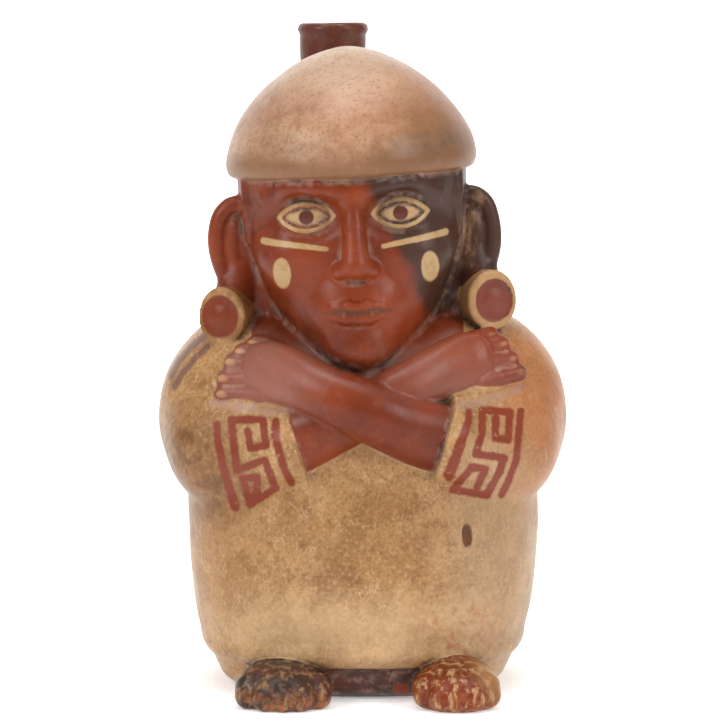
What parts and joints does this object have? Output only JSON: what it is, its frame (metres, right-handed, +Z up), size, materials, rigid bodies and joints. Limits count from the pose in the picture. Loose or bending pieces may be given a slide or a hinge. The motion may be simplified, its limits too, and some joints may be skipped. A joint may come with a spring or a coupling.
{
  "type": "stirrup spout vessel",
  "caption": "Hollow fired-clay stirrup spout vessel moulded as a standing figure in a round cap and ear spools, arms crossed, with a looped tube and upright spout behind the head.",
  "frame": {"origin": "centre of the flat underside, on the surface the vessel stands on", "axes": "+Z up, the figure faces -Y, +X to the right of someone who looks at its face"},
  "size_m": [0.148, 0.179, 0.24],
  "materials": {
    "fired_clay": "satin burnished slip"
  },
  "bodies": {
    "root": {"vessel": "fired_clay"}
  },
  "joints": []
}
